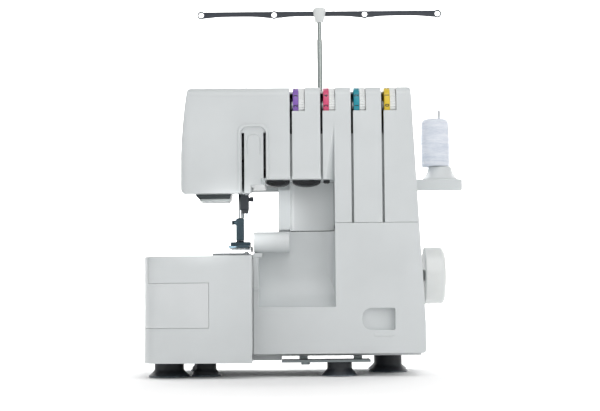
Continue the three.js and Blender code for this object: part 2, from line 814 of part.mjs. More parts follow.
function presserAnkle() {
  const body = block(ankleX - 4.4, ankleX + 4.3, presserY - 5, presserY + 5, 145, ankleTop);
  const screw = rod('x', presserY, ankleTop - 4.5, 2.6, ankleX - 6.8, ankleX - 4, 12);
  return join(body, screw);
}
piece(machine, 'presser_ankle', presserAnkle(), blueSteel);

function presserFoot() {
  const left = -75.8;
  const right = -53.9;
  const sole = prism('z', rounded([
    [left, 12],
    [left + 10, 9, 3],
    [right, 12, 2],
    [right, 74],
    [left, 74],
  ]), soleBottom, soleTop);
  const toe = block(left, right, 52, 62, soleTop - 0.5, 143.6);
  const needleSlot = block(needleX - 2.6, needleX + 2.2, 24, needleY + 5, soleBottom - 1, soleTop + 1);
  const neck = block(ankleX - 4.2, ankleX + 4.2, presserY - 4.5, presserY + 4.5, 143, 144.7);
  return cut(join(sole, toe, neck), needleSlot);
}
piece(machine, 'presser_foot', presserFoot(), blueSteel);

// Lifting lever behind the head: a finger plate on a pin along Y.
function presserLifter() {
  const pin = rod('y', presserX, lifterZ, 4, upperBack - 12, upperBack + 8, 16);
  const lever = prism('y', rounded([
    [presserX - 34, lifterZ - 6, 4],
    [presserX + 6, lifterZ - 6, 4],
    [presserX + 6, lifterZ + 6, 4],
    [presserX - 34, lifterZ + 4, 4],
  ]), upperBack + 1, upperBack + 5);
  return join(pin, lever);
}
piece(machine, 'presser_lifter', presserLifter(), darkPlastic);

// ---------------------------------------------------------------- frame and base
const frameFront = 96;
const frameBack = 126;
function mainFrame() {
  const handleFloor = bodyTop - handlePocket - wall - 1;
  const post = 92;
  const outline = [
    [-112, 226],
    [postLeft + 8, 226],
    [postLeft + 8, tableTop - 16],
    [armLeft + 8, tableTop - 16],
    [armLeft + 8, tableTop - 46],
    [postLeft + 8, tableTop - 46],
    [postLeft + 8, coverBottom + 4],
    [post, coverBottom + 4],
    [post, handleFloor],
    [-112, handleFloor],
  ];
  const lug = (x) => block(x, x + 12, shaftY - 12, frameFront + 1, shaftZ - 12, shaftZ + 12);
  const guide = (z) => block(presserX - 8, needleX + 7, needleY - 7, frameFront + 1, z, z + 12);
  const frame = join(prism('y', outline, frameFront, frameBack), lug(-10), lug(70), guide(232), guide(276));
  const bore = (x, y, radius) => rod('z', x, y, radius + running, 220, 300, 16);
  return cut(frame,
    rod('x', shaftY, shaftZ, shaftRadius + running, -12, 84, 24),
    bore(needleX, needleY, needleBarRadius),
    bore(presserX, presserY, presserBarRadius));
}
piece(machine, 'main_frame', mainFrame(), castMetal);

const panTop = coverBottom - gap;
const panBottom = panTop - 2.6;
const armPanTop = 19.3;
const armPanBottom = footHeight + gap;
const panFront = 27;
function basePan() {
  const main = block(postLeft + 1, sideAt(0) - 3, panFront, lowerBack - 3, panBottom, panTop);
  const step = block(coverLeft - 2, postLeft + 3, panFront, 172, armPanBottom, panTop);
  const arm = block(tableLeft + 9, coverLeft - 1, 2, 172, armPanBottom, armPanTop);
  const lug = (x) => join(
    block(x, x + lugWidth, hingeY - 4.5, panFront + 3, hingeZ - 4, hingeZ + 4),
    block(x, x + lugWidth, panFront, panFront + 12, panTop - 0.5, hingeZ + 4));
  return cut(join(main, step, arm, ...lugsX.map(lug)),
    rod('x', hingeY, hingeZ, hingeRodRadius + running, coverLeft, sideAt(0), 16));
}
piece(machine, 'base_pan', basePan(), casingWhite);

const railBottom = 14.4;
function coverRail() {
  const left = -20.5;
  const right = 73;
  const strip = block(left, right, 8, 42, railBottom, railBottom + 2.6);
  const post = (x) => block(x, x + 9, 30, 39, railBottom + 2, panBottom - gap);
  const screw = rod('z', 4.5, 16, 4.6, railBottom - 2.4, railBottom + 1, 16);
  return join(strip, post(-2), post(56), screw);
}
piece(machine, 'cover_rail', coverRail(), castMetal);

// Rubber feet with a wide flexible rim. Each is [x, y, rim radius, height].
const feet = [
  [-140, 24, 22, footHeight],
  [-101.5, 30, 15.6, footHeight],
  [40.5, 21, 18.6, railBottom - gap],
  [96.8, 105, 21.9, panBottom - gap],
  [100, 172, 21.9, panBottom - gap],
  [-112, 150, 15, footHeight],
];
feet.forEach(([x, y, rim, height], i) => {
  const neck = rim * 0.7;
  const foot = turned('z', [
    [0, 0], [rim, 0], [rim, 1.4], [neck + 1, 6.5], [neck, 8], [neck, height], [0, height],
  ], 20);
  piece(placed(machine, x, y, 0), `foot_${i + 1}`, foot, rubberBlack);
});

// ---------------------------------------------------------------- lamp and thread pads
const lampLeft = -111.7;
const lampRight = -73.5;
const lampTop = headBottom - gap;
piece(machine, 'lamp_housing', cut(
  prism('y', [
    [lampLeft, lampTop + underRise],
    [lampRight, lampTop + underRise],
    [lampRight, lampTop],
    [lampRight - 1, lampTop - 3.6],
    [lampLeft + 3, lampTop - 3.6],
    [lampLeft, lampTop],
  ], 24, 62),
  prism('x', [
    [climbStart, lampTop],
    [splitLine + 2, lampTop + underRise],
    [splitLine + 2, lampTop + underRise + 2],
    [climbStart, lampTop + underRise + 2],
  ], lampLeft - 1, lampRight + 1)), darkPlastic);
piece(machine, 'lamp_lens', prism('y', rounded([
  [lampLeft + 3.4, lampTop - 3.9],
  [lampRight - 1.2, lampTop - 3.9],
  [lampRight - 2.5, lampTop - 6.6, 1],
  [lampLeft + 5, lampTop - 6.6, 1],
], 2), 27, 59), lensClear);

// Dished pads under the ends of the first two slots, with a flat top and a bowed lower edge.
function threadPad(left, right) {
  const top = browBottom - gap;
  const middle = (left + right) / 2;
  const bow = Array.from({ length: 9 }, (_, i) => {
    const t = i / 8;
    return [left + 0.5 + (right - left - 1) * t, top - 2.6 - 3.8 * Math.sin(t * Math.PI) ** 0.6];
  });
  const pad = prism('y', [[left, top], ...bow, [right, top]], 11, 24);
  const dish = prism('y', rounded([
    [middle - (right - left) * 0.33, top - 2],
    [middle + (right - left) * 0.33, top - 2],
    [middle + (right - left) * 0.25, top - 4.6, 1],
    [middle - (right - left) * 0.25, top - 4.6, 1],
  ], 2), 10, 12.5);
  return cut(pad, dish);
}
piece(machine, 'thread_pad_1', threadPad(noseRight - 4, slotAt(0) - 1.6), darkPlastic);
piece(machine, 'thread_pad_2', threadPad(slotAt(0) + 1, slotAt(1) - 1), darkPlastic);

// ---------------------------------------------------------------- tension dials
// A knurled wheel with a number band, a hub and a pair of tension discs beside the thread slot.
function tensionDial() {
  const ridges = 22;
  const knurl = Array.from({ length: ridges * 2 }, (_, i) => {
    const angle = (i / (ridges * 2)) * 2 * Math.PI;
    const radius = i % 2 === 0 ? dialRadius : dialRadius - 0.5;
    return [radius * Math.cos(angle), radius * Math.sin(angle)];
  });
  const half = dialWidth / 2;
  const band = rod('x', 0, 0, dialRadius, 0, half, 32);
  const wheel = prism('x', knurl, half - 0.2, dialWidth);
  const hub = rod('x', 0, 0, 5, -8, 0.5, 12);
  const disc = (x) => rod('x', 0, 0, 9, x, x + 1, 16);
  const spring = rod('x', 0, 0, 6.5, dialWidth - 0.5, dialWidth + 7, 12);
  return join(band, wheel, hub, disc(-5.4), disc(-2.4), spring);
}
slots.forEach((x, i) => {
  const colour = finish(dialColours[i], 0.4, 0);
  piece(placed(machine, x + 2.2, dialY, dialZ), `tension_dial_${i + 1}`, tensionDial(), colour);
});

// ---------------------------------------------------------------- drive
function handwheel() {
  const bore = shaftRadius + gap;
  return turned('x', [
    [bore, 0],
    [handwheelRadius - 1, 0],
    [handwheelRadius, 1],
    [handwheelRadius, handwheelWidth - 5],
    [handwheelRadius - 1, handwheelWidth - 1.8],
    [handwheelRadius - 4, handwheelWidth],
    [15, handwheelWidth - 1],
    [13, handwheelWidth - 4],
    [bore, handwheelWidth - 4],
    [bore, 0],
  ], 36);
}
piece(placed(machine, handwheelInner, shaftY, shaftZ), 'handwheel', handwheel(), casingWhite);

function mainShaft() {
  const shaft = rod('x', shaftY, shaftZ, shaftRadius, postLeft + 6, handwheelInner + handwheelWidth - 5, 20);
  const pulley = rod('x', shaftY, shaftZ, mainPulleyRadius, beltLeft, beltLeft + beltWidth, 28);
  const rim = rod('x', shaftY, shaftZ, mainPulleyRadius + 4, beltLeft - 1.5, beltLeft + gap, 28);
  const boss = rod('x', shaftY, shaftZ, 12, beltLeft - 12, beltLeft + 1, 20);
  return join(shaft, pulley, rim, boss);
}
piece(machine, 'main_shaft', mainShaft(), castMetal);

function motorPulley() {
  const shaft = rod('x', motorY, motorZ, 3, 85, beltLeft + beltWidth + 2, 12);
  const pulley = rod('x', motorY, motorZ, motorPulleyRadius, beltLeft, beltLeft + beltWidth, 24);
  return join(shaft, pulley);
}
piece(machine, 'motor_pulley', motorPulley(), castMetal);

function motor() {
  const body = rod('x', motorY, motorZ, motorRadius, 26, 84.7, 28);
  const cap = rod('x', motorY, motorZ, 14, 20, 27, 20);
  const bracket = block(36, 76, motorY - 22, motorY + 22, panTop + 0.3, motorZ - 20);
  const bore = rod('x', motorY, motorZ, 3 + running, 80, 86, 12);
  const lowTrim = block(0, 120, 100, 200, 0, coverBottom + wall + gap);
  return cut(join(body, cap, bracket), bore, lowTrim);
}
piece(machine, 'motor', motor(), darkPlastic);

// Points of the belt's line round both pulleys: two arcs joined by straight runs.
function beltLineOutline(extra) {
  const away = Math.atan2(motorZ - shaftZ, motorY - shaftY);
  const distance = Math.hypot(motorY - shaftY, motorZ - shaftZ);
  const lean = Math.acos((mainPulleyRadius - motorPulleyRadius) / distance);
  const arc = (cy, cz, radius, from, to) => Array.from({ length: 13 }, (_, i) => {
    const angle = from + ((to - from) * i) / 12;
    return [cy + radius * Math.cos(angle), cz + radius * Math.sin(angle)];
  });
  return [
    ...arc(shaftY, shaftZ, mainPulleyRadius + extra, away + lean, away + 2 * Math.PI - lean),
    ...arc(motorY, motorZ, motorPulleyRadius + extra, away - lean, away + lean),
  ];
}
piece(machine, 'drive_belt', cut(
  prism('x', beltLineOutline(gap + beltThickness), beltLeft + 0.5, beltLeft + beltWidth - 0.5),
  prism('x', beltLineOutline(gap), beltLeft - 1, beltLeft + beltWidth + 1),
), rubberBlack);

// ---------------------------------------------------------------- carrying handle
function carryHandle() {
  const half = handleSpan / 2;
  const bar = 8;
  const outline = rounded([
    [handleMiddle - half, handleY - 4],
    [handleMiddle - half + bar, handleY - 4],
    [handleMiddle - half + bar, handleY + 22 - bar, 3],
    [handleMiddle + half - bar, handleY + 22 - bar, 3],
    [handleMiddle + half - bar, handleY - 4],
    [handleMiddle + half, handleY - 4],
    [handleMiddle + half, handleY + 22, 8],
    [handleMiddle - half, handleY + 22, 8],
  ]);
  const loop = prism('z', outline, handlePinZ - 3.5, handlePinZ + 3.5);
  const pin = (from, to) => rod('x', handleY, handlePinZ, handlePinRadius, from, to, 12);
  return join(loop,
    pin(handleMiddle - half - handlePinReach, handleMiddle - half + 1),
    pin(handleMiddle + half - 1, handleMiddle + half + handlePinReach));
}
piece(machine, 'carry_handle', carryHandle(), panelWhite);

// ---------------------------------------------------------------- thread stand
const trayMiddle = poleX + 1.5;
const trayLeft = trayMiddle - trayWidth / 2;
const trayRight = trayMiddle + trayWidth / 2;
const trayBack = trayFront + trayDepth;
const trayTop = trayBottom + trayHeight;
const standY = trayFront + trayDepth / 2;

function spoolTray() {
  const outline = (g) => rounded([
    [trayLeft + g, trayFront + g, 7],
    [trayRight - g, trayFront + g, 7],
    [trayRight - g, trayBack - g, 20],
    [trayLeft + g, trayBack - g, 20],
  ]);
  const shell = cut(
    prism('z', outline(0), trayBottom, trayTop),
    prism('z', outline(wall), trayBottom - 1, trayTop - wall));
  const underside = prism('x', [
    [trayFront - 1, trayBottom - 1],
    [trayFront - 1, trayBottom],
    [trayFront, trayBottom],
    [trayBack + 1, trayBottom + trayRise],
    [trayBack + 1, trayBottom - 1],
  ], trayLeft - 1, trayRight + 1);
  const foot = block(poleX - 30, poleX + 30, trayFront + 4, lowerBack - 8, lowerBackTop + gap, trayTop - 1);
  const socket = rod('z', poleX, standY, 8, trayBottom + 1, trayTop + 6, 24);
  const bore = rod('z', poleX, standY, poleRadius + gap, trayBottom + 2, trayTop + 8, 24);
  return cut(join(cut(shell, underside), foot, socket), bore);
}
piece(machine, 'spool_tray', spoolTray(), casingWhite);

// Three telescoping sections. Each is a tube that holds the next, and the last is a rod.
const middleRadius = poleRadius - poleWall - poleFit;
const upperRadius = middleRadius - poleWall - poleFit;
function poleTube(radius, bottom, top, bore) {
  const tube = rod('z', poleX, standY, radius, bottom, top, 20);
  return bore > 0 ? cut(tube, rod('z', poleX, standY, bore, bottom + 2, top + 1, 20)) : tube;
}
const poleBottom = trayBottom + 2.3;
[
  ['pole_lower', poleTube(poleRadius, poleBottom, poleLowerTop, poleRadius - poleWall)],
  ['pole_middle', poleTube(middleRadius, poleBottom + 4, poleMiddleTop, middleRadius - poleWall)],
  ['pole_upper', poleTube(upperRadius, poleBottom + 8, hubTop - 4, 0)],
].forEach(([name, tube]) => piece(machine, name, tube, brightSteel));

// The guide bar: a hub on the pole and a flat blade with four round eyelets and a scalloped lower edge.
const eyes = [-outerReach, -innerReach, innerReach, outerReach];
function guideBar() {
  const top = 3.8;
  const blade = 1.5;
  const ends = outerReach + 1.5;
  const lower = Array.from({ length: 33 }, (_, i) => {
    const x = ends - (2 * ends * i) / 32;
    const swell = Math.max(...eyes.map((eye) => Math.exp(-(((x - eye) / 15) ** 2))));
    return [x, -1.9 - 2.1 * swell];
  });
  const bladeSolid = prism('y', [[-ends, top], ...lower.reverse(), [ends, top]], -blade, blade);
  const lug = (x) => rod('y', x, 0, 4.8, -blade, blade, 16);
  const hole = (x) => rod('y', x, 0, 3.2, -blade - 1, blade + 1, 12);
  const hub = turned('z', [
    [0, hubBottom - eyeHeight],
    [hubRadius - 2.2, hubBottom - eyeHeight],
    [hubRadius - 0.9, -2],
    [hubRadius, 2],
    [hubRadius, hubTop - eyeHeight - 0.8],
    [hubRadius - 1, hubTop - eyeHeight],
    [0, hubTop - eyeHeight],
  ], 24);
  const solid = cut(join(bladeSolid, ...eyes.map(lug)), ...eyes.map(hole));
  const bore = rod('z', 0, 0, upperRadius + gap, hubBottom - eyeHeight - 1, hubTop - eyeHeight - 3.7, 20);
  return cut(join(solid, hub), bore);
}
piece(placed(machine, poleX, standY, eyeHeight), 'guide_bar', guideBar(), darkPlastic);

// Spool posts: a pin with a flared cone holder, and a cone of thread on each.
const pinRadius = 2;
const stemTop = coneTop - trayTop - 10;
function spoolPost() {
  return turned('z', [
    [0, gap],
    [holderRadius - 1, gap],
    [holderRadius, 3],
    [holderRadius - 3, 8],
    [holderRadius - 6.4, 14],
    [holderRadius - 7.4, coneBottom - trayTop - gap],
    [stemRadius + 1, coneBottom - trayTop - gap],
    [stemRadius, stemTop],
    [pinRadius, stemTop + 1],
    [pinRadius, pinTop - trayTop - 2],
    [pinRadius - 1, pinTop - trayTop],
    [0, pinTop - trayTop],
  ], 16);
}

function threadCone() {
  const height = coneTop - coneBottom;
  const bore = stemRadius + 1 + coneShift + gap;
  return turned('z', [
    [bore, 0],
    [coneRadius, 0],
    [coneRadius + 0.2, height * 0.3],
    [coneRadius, height - 4],
    [coneRadius - 2, height],
    [bore, height],
    [bore, 0],
  ], 20);
}
eyes.forEach((reach, i) => {
  piece(placed(machine, poleX + reach, standY, trayTop), `spool_post_${i + 1}`, spoolPost(), panelWhite);
  piece(placed(machine, poleX + reach - coneShift, standY, coneBottom), `thread_cone_${i + 1}`,
    threadCone(), threadWhite);
});

// ---------------------------------------------------------------- origin at the middle of the base
machine.position.set(-(tableLeft + trayRight) / 2, -(tableFront + trayBack) / 2, 0);
const group = new THREE.Group();
group.add(machine);

export default group;
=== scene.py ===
"""Overlock sewing machine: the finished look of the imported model, piece by piece, in metres."""

import json
import math

import bmesh
import bpy
from mathutils import Matrix, Vector

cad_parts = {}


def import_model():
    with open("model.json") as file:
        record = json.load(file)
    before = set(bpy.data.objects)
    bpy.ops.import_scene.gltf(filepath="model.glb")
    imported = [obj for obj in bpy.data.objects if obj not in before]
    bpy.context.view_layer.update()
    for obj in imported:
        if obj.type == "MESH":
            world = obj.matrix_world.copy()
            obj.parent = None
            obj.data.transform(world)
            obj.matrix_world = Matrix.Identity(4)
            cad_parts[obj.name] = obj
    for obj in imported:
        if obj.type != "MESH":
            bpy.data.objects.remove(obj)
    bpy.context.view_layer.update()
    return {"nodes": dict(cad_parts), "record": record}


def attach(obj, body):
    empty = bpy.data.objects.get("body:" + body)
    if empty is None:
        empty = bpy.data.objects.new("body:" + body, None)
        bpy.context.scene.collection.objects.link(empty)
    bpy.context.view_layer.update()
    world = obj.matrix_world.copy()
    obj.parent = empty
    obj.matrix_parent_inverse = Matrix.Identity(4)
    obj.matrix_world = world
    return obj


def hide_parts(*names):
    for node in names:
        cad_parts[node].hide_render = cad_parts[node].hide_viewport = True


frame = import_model()
record = frame["record"]
BODY_OF = {node: body for body, nodes in record["behaviour"]["bodies"].items() for node in nodes}
SLOT_OF = {part["node"]: part["material_slot"] for part in record["subparts"]}
MM = 0.001                      # the machine's sizes below are in mm, and each piece is made in metres
DATUM_X, DATUM_Y = 11.5, 105    # the frame's origin, from the machine's own datum, in mm


# ------------------------------------------------------------------ materials
def linear(hex_colour):
    """An sRGB hex colour as linear RGBA."""
    channels = [int(hex_colour[i:i + 2], 16) / 255 for i in (0, 2, 4)]
    return [c / 12.92 if c <= 0.04045 else ((c + 0.055) / 1.055) ** 2.4 for c in channels] + [1.0]


def add(material, kind, inputs=None, **settings):
    """Adds a node, with its settings, and values or links for its inputs."""
    node = material.node_tree.nodes.new(kind)
    for name, value in settings.items():
        setattr(node, name, value)
    for socket, value in (inputs or {}).items():
        if isinstance(value, bpy.types.NodeSocket):
            material.node_tree.links.new(value, node.inputs[socket])
        else:
            node.inputs[socket].default_value = value
    return node


def blank(name):
    """A new material without nodes."""
    material = bpy.data.materials.new(name)
    material.use_nodes = True
    material.node_tree.nodes.clear()
    return material


def shade(material, inputs):
    """Ends a material in one Principled shader."""
    shader = add(material, "ShaderNodeBsdfPrincipled", inputs)
    add(material, "ShaderNodeOutputMaterial", {"Surface": shader.outputs["BSDF"]})
    return material


def ramp(material, factor, stops):
    """Blends between sRGB colours. Stops are (place, hex)."""
    node = add(material, "ShaderNodeValToRGB", {"Fac": factor})
    elements = node.color_ramp.elements
    while len(elements) < len(stops):
        elements.new(0.5)
    for element, (place, colour) in zip(elements, stops):
        element.position = place
        element.color = linear(colour)
    return node.outputs["Color"]


def place_on_part(material):
    """The texture place that rides with the piece, in metres."""
    return add(material, "ShaderNodeTexCoord").outputs["Object"]


def per_metre(size_mm):
    """Texture scale at which one feature of a noise measures size_mm."""
    return 1 / (size_mm * MM)


ABS_IOR = 1.54
RUBBER_IOR = 1.52
ACRYLIC_IOR = 1.49


def moulded_plastic(name, low, high, roughness=0.4):
    """ABS from a spark-eroded mould: a fine even grain, and a very faint drift of tone from flow."""
    flow_mm, grain_mm, grain_height = 70, 0.5, 0.012
    m = blank(name)
    where = place_on_part(m)
    flow = add(m, "ShaderNodeTexNoise", {"Vector": where, "Scale": per_metre(flow_mm), "Detail": 3.0})
    tone = ramp(m, flow.outputs["Fac"], [(0.3, low), (0.7, high)])
    grain = add(m, "ShaderNodeTexNoise", {"Vector": where, "Scale": per_metre(grain_mm), "Detail": 2.0})
    gloss = add(m, "ShaderNodeMapRange", {
        "Value": grain.outputs["Fac"], "From Min": 0.3, "From Max": 0.7,
        "To Min": roughness - 0.05, "To Max": roughness + 0.05})
    bump = add(m, "ShaderNodeBump", {
        "Height": grain.outputs["Fac"], "Strength": 0.25, "Distance": grain_height * MM})
    return shade(m, {
        "Base Color": tone, "Roughness": gloss.outputs["Result"], "Normal": bump.outputs["Normal"],
        "IOR": ABS_IOR, "Specular IOR Level": 0.5})


def brushed_metal(name, low, high, roughness=0.28, along=(1, 1, 20)):
    """Ground or drawn steel: fine lines along the length, lighter and darker by turns.

    along says how many times longer than wide a line is, on each axis."""
    line_mm, line_depth = 0.25, 0.01
    m = blank(name)
    stretch = add(m, "ShaderNodeMapping", {"Vector": place_on_part(m), "Scale": [1 / a for a in along]})
    lines = add(m, "ShaderNodeTexNoise", {
        "Vector": stretch.outputs["Vector"], "Scale": per_metre(line_mm), "Detail": 3.0})
    tone = ramp(m, lines.outputs["Fac"], [(0.25, low), (0.75, high)])
    gloss = add(m, "ShaderNodeMapRange", {
        "Value": lines.outputs["Fac"], "To Min": roughness - 0.06, "To Max": roughness + 0.08})
    bump = add(m, "ShaderNodeBump", {
        "Height": lines.outputs["Fac"], "Strength": 0.15, "Distance": line_depth * MM})
    return shade(m, {
        "Base Color": tone, "Metallic": 1.0, "Roughness": gloss.outputs["Result"],
        "Normal": bump.outputs["Normal"]})


def cast_metal(name, low, high):
    """Sand-blasted aluminium casting: a coarse pebbled skin with soft highlights."""
    pebble_mm, pebble_height = 1.2, 0.1
    m = blank(name)
    skin = add(m, "ShaderNodeTexNoise", {
        "Vector": place_on_part(m), "Scale": per_metre(pebble_mm), "Detail": 5.0})
    tone = ramp(m, skin.outputs["Fac"], [(0.3, low), (0.7, high)])
    bump = add(m, "ShaderNodeBump", {
        "Height": skin.outputs["Fac"], "Strength": 0.4, "Distance": pebble_height * MM})
    return shade(m, {
        "Base Color": tone, "Metallic": 0.9, "Roughness": 0.5, "Normal": bump.outputs["Normal"]})


def moulded_rubber(name):
    """Black nitrile rubber: matt, with a dusty bloom and a pebbled skin."""
    bloom_mm, pebble_mm, pebble_height = 9, 0.6, 0.05
    m = blank(name)
    where = place_on_part(m)
    bloom = add(m, "ShaderNodeTexNoise", {"Vector": where, "Scale": per_metre(bloom_mm), "Detail": 6.0})
    tone = ramp(m, bloom.outputs["Fac"], [(0.35, "14191e"), (0.75, "2a3138")])
    skin = add(m, "ShaderNodeTexNoise", {"Vector": where, "Scale": per_metre(pebble_mm), "Detail": 2.0})
    bump = add(m, "ShaderNodeBump", {
        "Height": skin.outputs["Fac"], "Strength": 0.3, "Distance": pebble_height * MM})
    return shade(m, {
        "Base Color": tone, "Roughness": 0.55, "Normal": bump.outputs["Normal"], "IOR": RUBBER_IOR})


def wound_thread(name):
    """Polyester sewing thread cross-wound on a cone: slanting strands with a soft sheen.

    The strands are drawn 0.6 mm apart, twice as coarse as real thread, so that they show."""
    strand_mm, band_mm, strand_height = 0.6, 4, 0.12
    slant = 0.05
    m = blank(name)
    where = place_on_part(m)
    squeeze = add(m, "ShaderNodeMapping", {
        "Vector": where, "Rotation": (0.0, slant, 0.0), "Scale": (0.1, 0.1, 1.0)})
    strands = add(m, "ShaderNodeTexNoise", {
        "Vector": squeeze.outputs["Vector"], "Scale": per_metre(strand_mm), "Detail": 4.0,
        "Roughness": 0.6})
    bands = add(m, "ShaderNodeTexNoise", {
        "Vector": squeeze.outputs["Vector"], "Scale": per_metre(band_mm), "Detail": 2.0})
    both = add(m, "ShaderNodeMath", {
        0: strands.outputs["Fac"], 1: bands.outputs["Fac"]}, operation="ADD")
    half = add(m, "ShaderNodeMath", {0: both.outputs["Value"], 1: 0.5}, operation="MULTIPLY")
    tone = ramp(m, half.outputs["Value"], [(0.36, "cdd4e0"), (0.5, "dde2eb"), (0.62, "e8ebf2")])
    bump = add(m, "ShaderNodeBump", {
        "Height": strands.outputs["Fac"], "Strength": 0.25, "Distance": strand_height * MM})
    return shade(m, {
        "Base Color": tone, "Roughness": 0.62, "Normal": bump.outputs["Normal"],
        "Sheen Weight": 0.3, "Sheen Roughness": 0.4})


def dusty_rubber(name):
    """Rubber suction foot: black, with a pale band along the rim near the floor as a painted reflection,
    darker higher up, which lifts its outline.
    """
    foot_noise_mm, foot_noise_height, waver_height, painted_band_height = 6, 0.1, 2, 8
    m = blank(name)
    where = place_on_part(m)
    split = add(m, "ShaderNodeSeparateXYZ", {"Vector": where})
    foot_noise = add(m, "ShaderNodeTexNoise", {"Vector": where, "Scale": per_metre(foot_noise_mm), "Detail": 4.0})
    waver = add(m, "ShaderNodeMath", {0: foot_noise.outputs["Fac"], 1: waver_height * MM}, operation="MULTIPLY")
    height = add(m, "ShaderNodeMath", {
        0: split.outputs["Z"], 1: waver.outputs["Value"]}, operation="ADD")
    # Painted reflection: the rim is pale where it meets the floor and darker higher up, and the noise wavers
    # the band's edge.
    painted_reflection_band = add(m, "ShaderNodeMapRange", {
        "Value": height.outputs["Value"], "From Min": 0.0, "From Max": painted_band_height * MM})
    tone = ramp(m, painted_reflection_band.outputs["Result"], [(0.1, "87929a"), (0.3, "2a3238"), (0.8, "171c21")])
    bump = add(m, "ShaderNodeBump", {
        "Height": foot_noise.outputs["Fac"], "Strength": 0.2, "Distance": foot_noise_height * MM})
    return shade(m, {
        "Base Color": tone, "Roughness": 0.5, "Normal": bump.outputs["Normal"], "IOR": RUBBER_IOR})


def clear_acrylic(name, colour, roughness, transmission):
    """Injection-moulded acrylic: clear or frosted, with tiny surface ripples."""
    ripple_mm, ripple_height = 3, 0.05
    m = blank(name)
    ripple = add(m, "ShaderNodeTexNoise", {
        "Vector": place_on_part(m), "Scale": per_metre(ripple_mm), "Detail": 2.0})
    bump = add(m, "ShaderNodeBump", {
        "Height": ripple.outputs["Fac"], "Strength": 0.2, "Distance": ripple_height * MM})
    return shade(m, {
        "Base Color": linear(colour), "Roughness": roughness, "Transmission Weight": transmission,
        "IOR": ACRYLIC_IOR, "Normal": bump.outputs["Normal"]})


CASING = moulded_plastic("white_abs_casing", "cdd1d2", "d4d8d9")
PANEL = moulded_plastic("white_abs_panel", "d0d4d5", "d8dbdc", roughness=0.36)
BRIGHT_ABS = moulded_plastic("bright_abs_wheel", "dcdfde", "e4e6e5", roughness=0.3)
PAD_ABS = moulded_plastic("matt_black_abs_pad", "0d1116", "171c22", roughness=0.5)
BLACK_ABS = moulded_plastic("black_abs", "1f2429", "2a2f35", roughness=0.38)
GREY_ABS = moulded_plastic("grey_abs_lamp", "2a3234", "363f42", roughness=0.4)
GUIDE_ABS = moulded_plastic("slate_abs_guide", "1f252e", "2c333e", roughness=0.35)
STEEL = brushed_metal("ground_steel", "a9afb2", "c6cbcd")
POLE_STEEL = brushed_metal("drawn_steel_pole", "9aa19f", "bcc2c0", roughness=0.22, along=(1, 1, 60))
BLUE_STEEL = brushed_metal("blued_steel", "3c4b53", "596b74", roughness=0.32)
RAIL_STEEL = brushed_metal("zinc_plated_rail", "7b8385", "9aa1a2", roughness=0.35, along=(30, 1, 1))
CASTING = cast_metal("cast_aluminium", "84898b", "a4a9ab")
RUBBER = moulded_rubber("black_nitrile_rubber")
FOOT_RUBBER = dusty_rubber("black_rubber_painted_reflection")
THREAD = wound_thread("white_polyester_thread")
LENS = clear_acrylic("frosted_acrylic_lens", "dfe5e5", 0.45, 0.35)
CLEAR = clear_acrylic("clear_acrylic", "f2f6f7", 0.08, 0.85)
PRINT = moulded_plastic("printed_dark_ink", "1d1f24", "26292f", roughness=0.5)
DIAL_COLOURS = [
    moulded_plastic(f"dial_abs_{name}", low, high, roughness=0.32)
    for name, low, high in (
        ("purple", "7a52aa", "8a64b8"), ("pink", "cf456f", "da547d"),
        ("teal", "0d8597", "1594a6"), ("yellow", "dabb2c", "e6c838"))]

SLOT_MATERIAL = {
    "casing": CASING, "panel": PANEL, "dark_plastic": BLACK_ABS, "rubber": RUBBER, "steel": STEEL,
    "cast_metal": CASTING, "presser_metal": BLUE_STEEL, "thread": THREAD, "lens": LENS,
    "dial_purple": DIAL_COLOURS[0], "dial_pink": DIAL_COLOURS[1], "dial_teal": DIAL_COLOURS[2],
    "dial_yellow": DIAL_COLOURS[3]}
OWN_MATERIAL = {
    "thread_pad_1": PAD_ABS, "thread_pad_2": PAD_ABS,
    "handwheel": BRIGHT_ABS, "lamp_housing": GREY_ABS, "guide_bar": GUIDE_ABS, "cover_rail": RAIL_STEEL,
    "pole_lower": POLE_STEEL, "pole_middle": POLE_STEEL, "pole_upper": POLE_STEEL}


# ------------------------------------------------------------------ mesh helpers
SHARP_ANGLE = 32                # degrees: steeper joints between faces stay sharp under smooth shading
ROUNDED_ANGLE = 35              # degrees: steeper edges are rounded over
ROUNDING_STEPS = 3
WIRE_STEPS = 3                  # extra points in each quarter of a wire's round section
LARGE_FACE = 1200               # mm2
WELD_DISTANCE = 0.002
FLAT_ANGLE = 0.4                # degrees: faces closer to one plane than this are joined


def new_object(name, mesh, material):
    """An object in the scene with one material."""
    obj = bpy.data.objects.new(name, mesh)
    bpy.context.collection.objects.link(obj)
    mesh.materials.clear()
    mesh.materials.append(material)
    return obj


def apply_modifiers(obj):
    """Turns the modified shape into the object's own mesh."""
    graph = bpy.context.evaluated_depsgraph_get()
    mesh = bpy.data.meshes.new_from_object(obj.evaluated_get(graph))
    obj.modifiers.clear()
    obj.data = mesh
    return obj


def smooth(obj):
    """Shades smooth, with hard edges where faces meet steeply."""
    obj.data.shade_smooth()
    obj.data.set_sharp_from_angle(angle=math.radians(SHARP_ANGLE))
    return obj


def shown(obj, body, slot, *nodes):
    """Ties a piece to its body, and hides the CAD nodes that it stands for. The slot argument is not used."""
    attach(obj, body)
    if nodes:
        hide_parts(*nodes)
    return obj


def keep_large_faces_flat(obj):
    """Marks the edges between two large flat faces, so that neither one's shading leans to the other's."""
    shape = bmesh.new()
    shape.from_mesh(obj.data)
    for edge in shape.edges:
        smaller = min((face.calc_area() for face in edge.link_faces), default=0)
        if len(edge.link_faces) == 2 and smaller > LARGE_FACE * MM * MM:
            edge.smooth = False
    shape.to_mesh(obj.data)
    shape.free()


